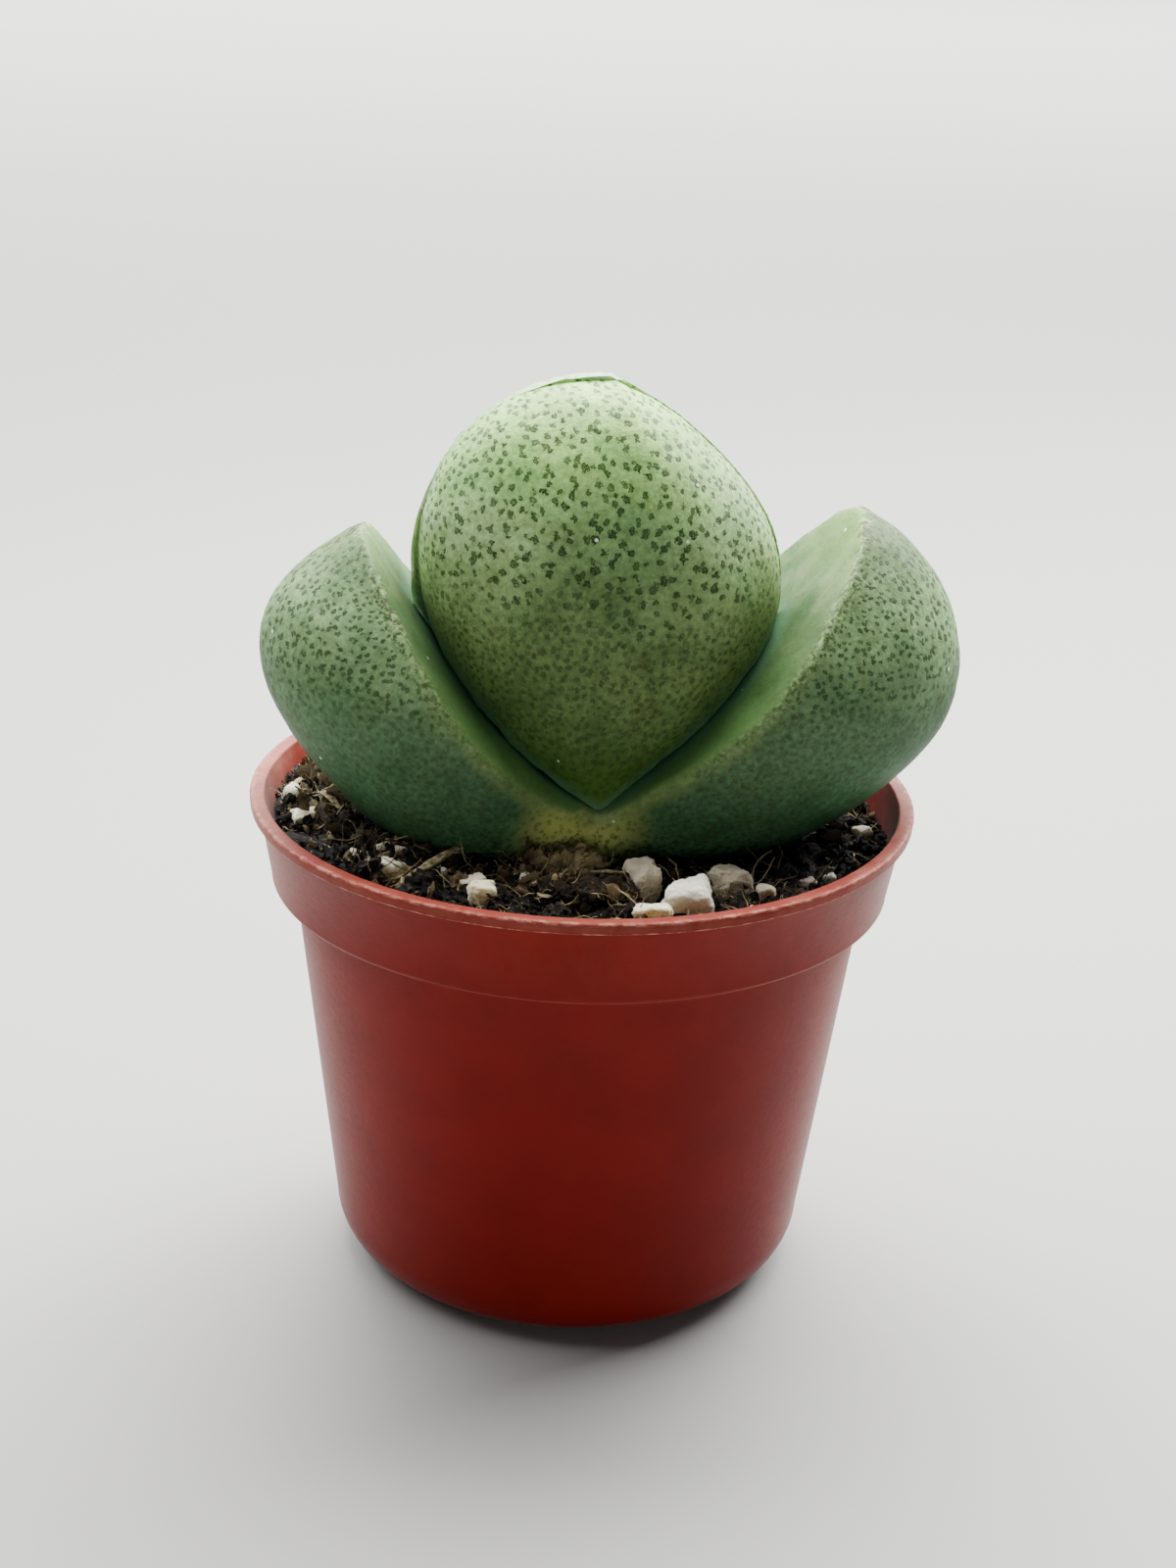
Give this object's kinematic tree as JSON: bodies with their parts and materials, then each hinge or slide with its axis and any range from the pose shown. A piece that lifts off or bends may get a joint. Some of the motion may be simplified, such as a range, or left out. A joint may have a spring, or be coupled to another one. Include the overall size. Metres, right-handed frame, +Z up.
{
  "type": "potted split rock succulent",
  "caption": "Small split rock succulent with swollen paired leaves, standing in a round plastic nursery pot of peat and perlite.",
  "frame": {"origin": "middle of the pot's flat base, on the surface it stands on", "axes": "+Z up the middle of the pot, -Y to the front of the plant, +X to the right seen from the front"},
  "size_m": [0.0687, 0.065, 0.0901],
  "materials": {
    "pot": "satin",
    "soil": "matte",
    "outer_leaf": "satin",
    "inner_leaf": "satin"
  },
  "bodies": {
    "root": {"pot": "pot", "soil": "soil", "outer_leaf_pair": "outer_leaf", "inner_leaf_pair": "inner_leaf"}
  },
  "joints": []
}
